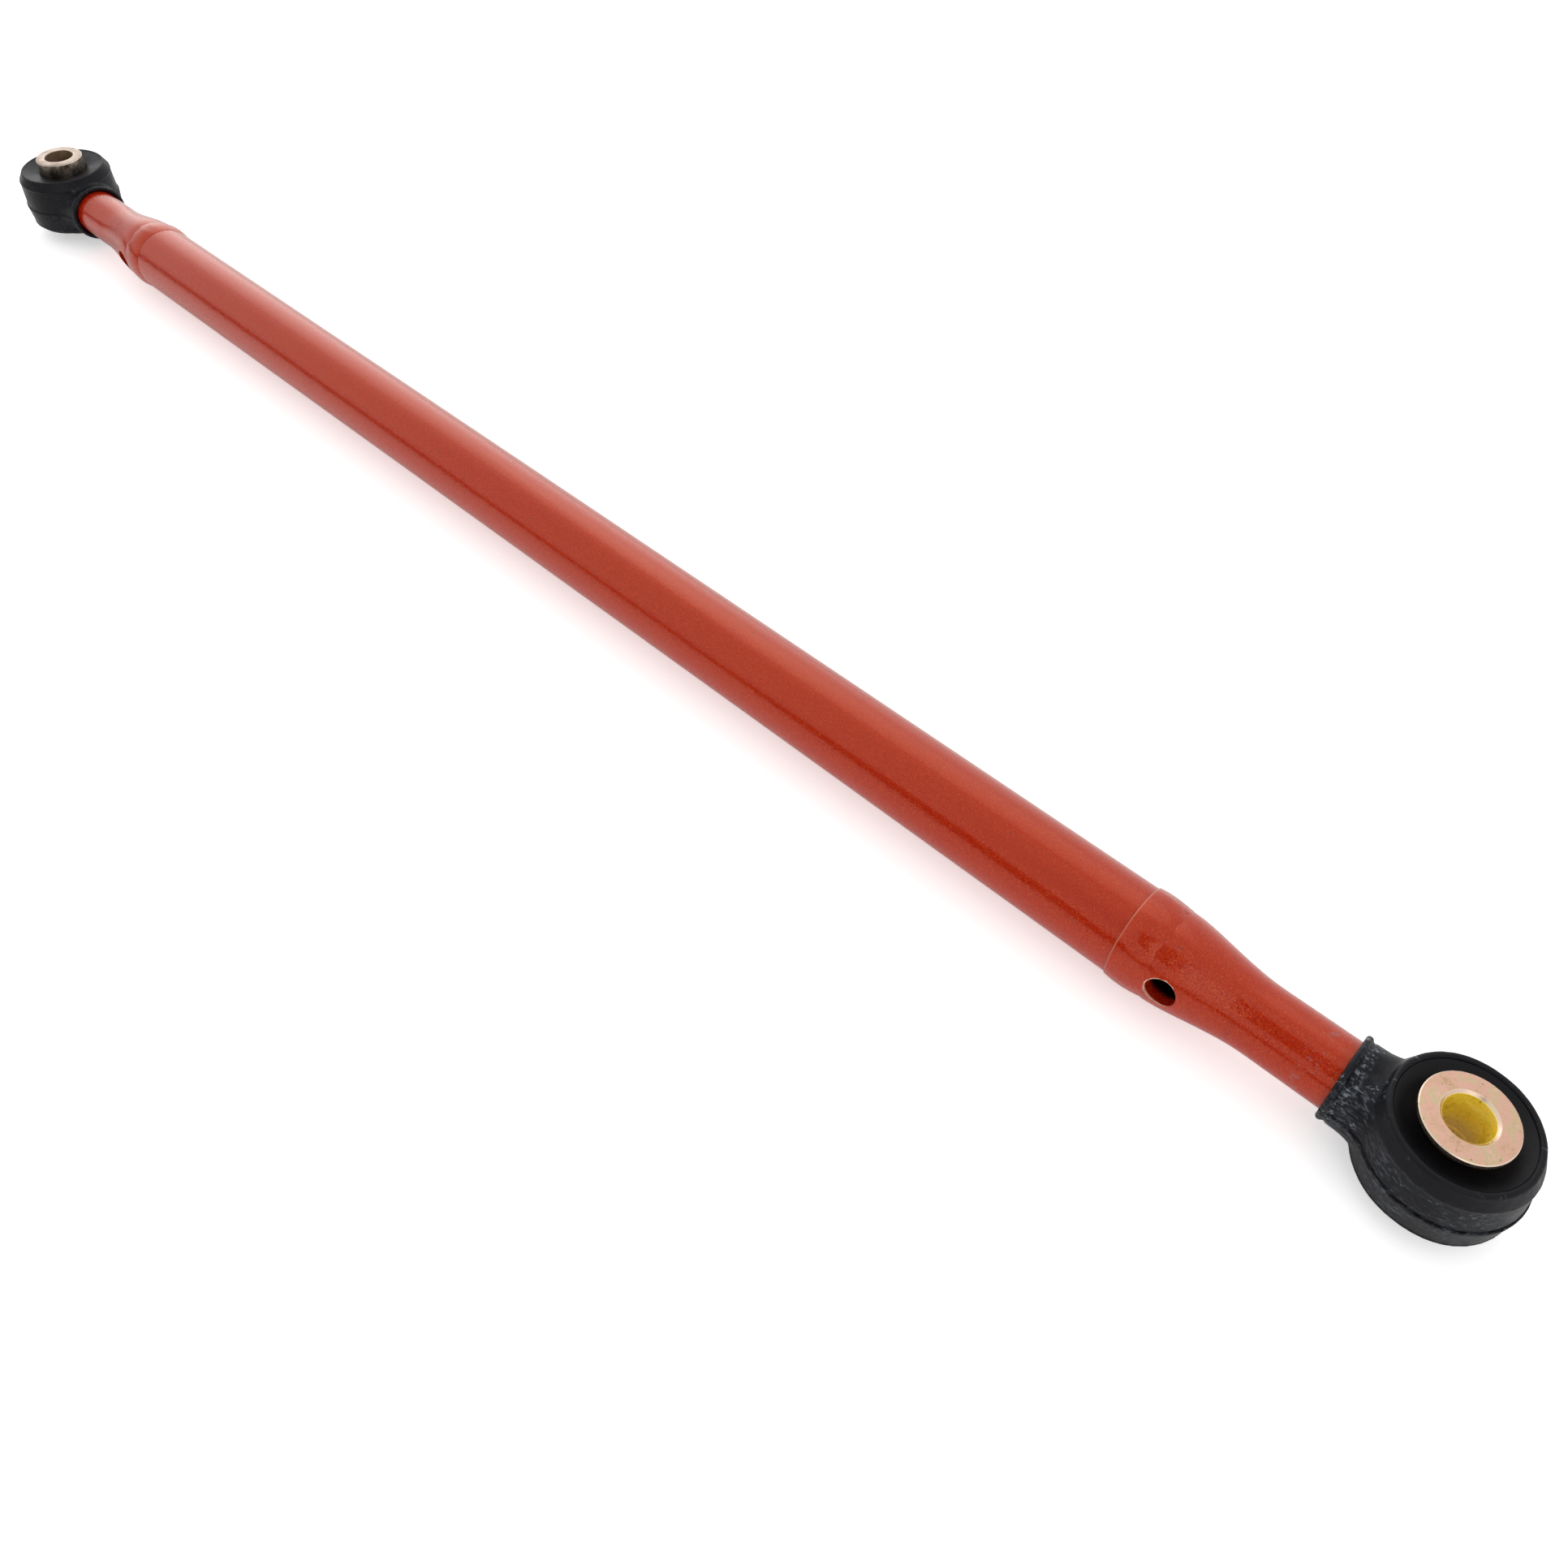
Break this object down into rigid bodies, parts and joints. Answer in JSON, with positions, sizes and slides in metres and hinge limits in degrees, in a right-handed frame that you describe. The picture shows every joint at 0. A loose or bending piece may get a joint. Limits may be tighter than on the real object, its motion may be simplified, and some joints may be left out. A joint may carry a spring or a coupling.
{
  "type": "control arm",
  "caption": "Straight tubular suspension link with swaged, vented ends and a rubber-booted spherical bearing with flanged bolt spacers at each end.",
  "frame": {"origin": "midway between the two bearing centres, on the tube axis", "axes": "+X along the arm to the end with the wide flanged spacers, +Z along both bolt bores"},
  "size_m": [0.7212, 0.0412, 0.0352],
  "materials": {
    "red_paint": "gloss",
    "black_rubber": "matte",
    "yellow_zinc": "satin",
    "worn_zinc": "satin",
    "forged_steel": "matte",
    "bare_weld": "matte",
    "bearing_steel": "polished",
    "liner_fabric": "matte",
    "spring_steel": "satin"
  },
  "bodies": {
    "arm": {"main_tube": "red_paint", "near_socket": "red_paint", "near_tube_weld": "red_paint", "near_eye_weld": "bare_weld", "near_eye_housing": "forged_steel", "near_bearing_race": "bearing_steel", "near_bearing_liner": "liner_fabric", "near_snap_ring": "spring_steel", "near_boot": "black_rubber", "far_socket": "red_paint", "far_tube_weld": "red_paint", "far_eye_weld": "bare_weld", "far_eye_housing": "forged_steel", "far_bearing_race": "bearing_steel", "far_bearing_liner": "liner_fabric", "far_snap_ring": "spring_steel", "far_boot": "black_rubber"},
    "near_ball": {"near_bearing_ball": "bearing_steel"},
    "near_spacers": {"near_upper_spacer": "yellow_zinc", "near_lower_spacer": "yellow_zinc"},
    "far_ball": {"far_bearing_ball": "bearing_steel"},
    "far_spacers": {"far_upper_spacer": "worn_zinc", "far_lower_spacer": "worn_zinc"}
  },
  "joints": [
    {"name": "near_ball_tilt", "type": "hinge", "parent": "arm", "child": "near_ball", "pos_m": [0.34, 0, 0], "axis": [1, 0, 0], "range_deg": [-12, 12]},
    {"name": "near_spacer_spin", "type": "hinge", "parent": "near_ball", "child": "near_spacers", "pos_m": [0.34, 0, 0], "axis": [0, 0, 1], "continuous": true},
    {"name": "far_ball_tilt", "type": "hinge", "parent": "arm", "child": "far_ball", "pos_m": [-0.34, 0, 0], "axis": [1, 0, 0], "range_deg": [-12, 12]},
    {"name": "far_spacer_spin", "type": "hinge", "parent": "far_ball", "child": "far_spacers", "pos_m": [-0.34, 0, 0], "axis": [0, 0, 1], "continuous": true}
  ]
}
